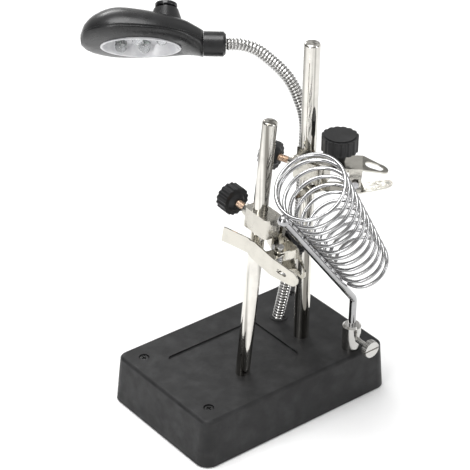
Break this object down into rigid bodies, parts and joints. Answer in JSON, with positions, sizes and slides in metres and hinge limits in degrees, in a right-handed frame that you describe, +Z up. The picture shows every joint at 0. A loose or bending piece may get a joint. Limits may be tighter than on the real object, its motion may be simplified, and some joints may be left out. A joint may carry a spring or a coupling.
{
  "type": "pcb holder vise",
  "caption": "Weighted bench stand with two posts carrying swivel spring clips, a gooseneck lamp and a spiral soldering-iron holder.",
  "frame": {"origin": "centre of the base's footprint, on the plane that the rubber feet rest on", "axes": "+Z up along the posts, +X along the base's long side towards the iron holder, +Y towards the gooseneck's side of the base"},
  "size_m": [0.19, 0.2333, 0.3209],
  "materials": {
    "base_plastic": "fine textured black moulding",
    "tray_plastic": "plain black moulding",
    "lamp_plastic": "semi-matte black moulding",
    "cap_plastic": "glossy black",
    "knob_plastic": "scalloped black moulding",
    "post_nickel": "polished nickel plate, slightly warm",
    "sheet_nickel": "bright nickel plated sheet",
    "block_nickel": "nickel plated casting",
    "wire_chrome": "bright plated wire",
    "neck_chrome": "ribbed plated steel hose",
    "screw_brass": "plain turned",
    "screw_black": "black oxide",
    "steel": "plain",
    "rubber": "matt",
    "lead_weight": "rough cast",
    "cell_wrap": "plain wrap",
    "reflector_white": "bright reflective moulding",
    "led_lens": "clear domed lens",
    "board_green": "solder mask"
  },
  "bodies": {
    "base": {"base_shell": "base_plastic", "base_plate": "tray_plastic", "battery_tray": "tray_plastic", "battery_cells": "cell_wrap", "battery_contacts": "steel", "corner_screws": "screw_black", "rubber_feet": "rubber", "ballast_weight": "lead_weight", "front_post": "post_nickel", "rear_post": "post_nickel", "post_nuts": "steel", "gooseneck_grommet": "rubber", "gooseneck_lower": "neck_chrome", "iron_socket": "wire_chrome"},
    "door": {"battery_door": "tray_plastic"},
    "neck_middle": {"gooseneck_middle": "neck_chrome"},
    "neck_upper": {"gooseneck_upper": "neck_chrome", "gooseneck_collar": "lamp_plastic"},
    "lamp_head": {"lamp_top_shell": "lamp_plastic", "lamp_bottom_shell": "lamp_plastic", "lamp_reflector": "reflector_white", "lamp_leds": "led_lens", "lamp_led_board": "board_green", "lamp_screws": "screw_black", "lamp_switch_collar": "lamp_plastic", "lamp_switch_body": "tray_plastic"},
    "lamp_switch": {"lamp_switch_cap": "cap_plastic"},
    "socket_screw": {"socket_thumbscrew": "wire_chrome"},
    "iron_holder": {"holder_rod": "wire_chrome", "holder_coil": "wire_chrome", "holder_mouth_ring": "wire_chrome", "holder_ferrule": "wire_chrome"},
    "front_clamp": {"front_block": "block_nickel", "front_arm_pivot": "screw_brass"},
    "front_knob": {"front_post_knob": "knob_plastic", "front_post_screw": "screw_brass"},
    "front_link": {"front_arm": "sheet_nickel"},
    "front_clip": {"front_upper_jaw": "sheet_nickel", "front_jaw_pin": "steel", "front_jaw_spring": "steel"},
    "front_grip": {"front_lower_jaw": "sheet_nickel"},
    "front_clip_wing": {"front_clip_knob": "knob_plastic", "front_clip_screw": "steel"},
    "rear_clamp": {"rear_block": "block_nickel", "rear_arm_pivot": "screw_brass"},
    "rear_knob": {"rear_post_knob": "knob_plastic", "rear_post_screw": "screw_brass"},
    "rear_link": {"rear_arm": "sheet_nickel"},
    "rear_clip": {"rear_upper_jaw": "sheet_nickel", "rear_jaw_pin": "steel", "rear_jaw_spring": "steel"},
    "rear_grip": {"rear_lower_jaw": "sheet_nickel"},
    "rear_clip_wing": {"rear_clip_knob": "knob_plastic", "rear_clip_screw": "steel"}
  },
  "joints": [
    {"name": "door_slide", "type": "slide", "parent": "base", "child": "door", "axis": [1, 0, 0], "range_m": [0, 0.005]},
    {"name": "neck_lower_bend", "type": "hinge", "parent": "base", "child": "neck_middle", "pos_m": [0.04947, 0.01956, 0.066], "axis": [-0.7771, 0.6293, 0], "range_deg": [-3, 20]},
    {"name": "neck_upper_bend", "type": "hinge", "parent": "neck_middle", "child": "neck_upper", "pos_m": [0.05908, 0.01177, 0.2], "axis": [0.6293, 0.7771, 0], "range_deg": [-12, 15]},
    {"name": "lamp_turn", "type": "hinge", "parent": "neck_upper", "child": "lamp_head", "pos_m": [-0.00304, 0.06208, 0.291], "axis": [-0.7771, 0.6293, 0], "range_deg": [-45, 60]},
    {"name": "lamp_switch_press", "type": "slide", "parent": "lamp_head", "child": "lamp_switch", "axis": [-0.4603, -0.5684, -0.682], "range_m": [0, 0.0013], "stiffness_N_per_m": 600, "springref_m": -0.0006},
    {"name": "socket_screw_turn", "type": "hinge", "parent": "base", "child": "socket_screw", "pos_m": [0.0656, -0.0504, 0.0525], "axis": [0, -1, 0], "continuous": true},
    {"name": "iron_holder_turn", "type": "hinge", "parent": "base", "child": "iron_holder", "pos_m": [0.0656, -0.0471, 0.042], "axis": [0, 0, 1], "range_deg": [0, 60]},
    {"name": "front_clamp_slide", "type": "slide", "parent": "base", "child": "front_clamp", "axis": [0.0569, -0.0461, 0.9973], "range_m": [-0.085, 0.001]},
    {"name": "front_knob_turn", "type": "hinge", "parent": "front_clamp", "child": "front_knob", "pos_m": [-0.0173, -0.02706, 0.18392], "axis": [-0.0026, -0.9989, -0.046], "continuous": true},
    {"name": "front_arm_swing", "type": "hinge", "parent": "front_clamp", "child": "front_link", "pos_m": [-0.01733, -0.03955, 0.18334], "axis": [0.9984, 0, -0.057], "range_deg": [-1, 15]},
    {"name": "front_clip_turn", "type": "hinge", "parent": "front_link", "child": "front_clip", "pos_m": [-0.01859, -0.03853, 0.1614], "axis": [0.9984, 0, -0.057], "range_deg": [-15, 8]},
    {"name": "front_clip_knob_turn", "type": "hinge", "parent": "front_link", "child": "front_clip_wing", "pos_m": [-0.01859, -0.03853, 0.1614], "axis": [0.9984, 0, -0.057], "continuous": true},
    {"name": "front_jaw_close", "type": "hinge", "parent": "front_clip", "child": "front_grip", "pos_m": [-0.0187, -0.05138, 0.15945], "axis": [0.0563, -0.1503, 0.987], "range_deg": [0, 14]},
    {"name": "rear_clamp_slide", "type": "slide", "parent": "base", "child": "rear_clamp", "axis": [0, 0, 1], "range_m": [-0.002, 0.022]},
    {"name": "rear_knob_turn", "type": "hinge", "parent": "rear_clamp", "child": "rear_knob", "pos_m": [0.0445, -0.0096, 0.2], "axis": [0.309, -0.9511, 0], "continuous": true},
    {"name": "rear_arm_swing", "type": "hinge", "parent": "rear_clamp", "child": "rear_link", "pos_m": [0.04836, -0.02149, 0.2], "axis": [0, 0, 1], "range_deg": [-2, 30]},
    {"name": "rear_clip_turn", "type": "hinge", "parent": "rear_link", "child": "rear_clip", "pos_m": [0.05306, -0.03594, 0.2], "axis": [0, 0, 1], "range_deg": [-1, 14]},
    {"name": "rear_clip_knob_turn", "type": "hinge", "parent": "rear_link", "child": "rear_clip_wing", "pos_m": [0.05306, -0.03594, 0.2], "axis": [0, 0, 1], "continuous": true},
    {"name": "rear_jaw_close", "type": "hinge", "parent": "rear_clip", "child": "rear_grip", "pos_m": [0.06272, -0.04464, 0.2], "axis": [-0.6691, -0.7431, 0], "range_deg": [0, 14]}
  ]
}
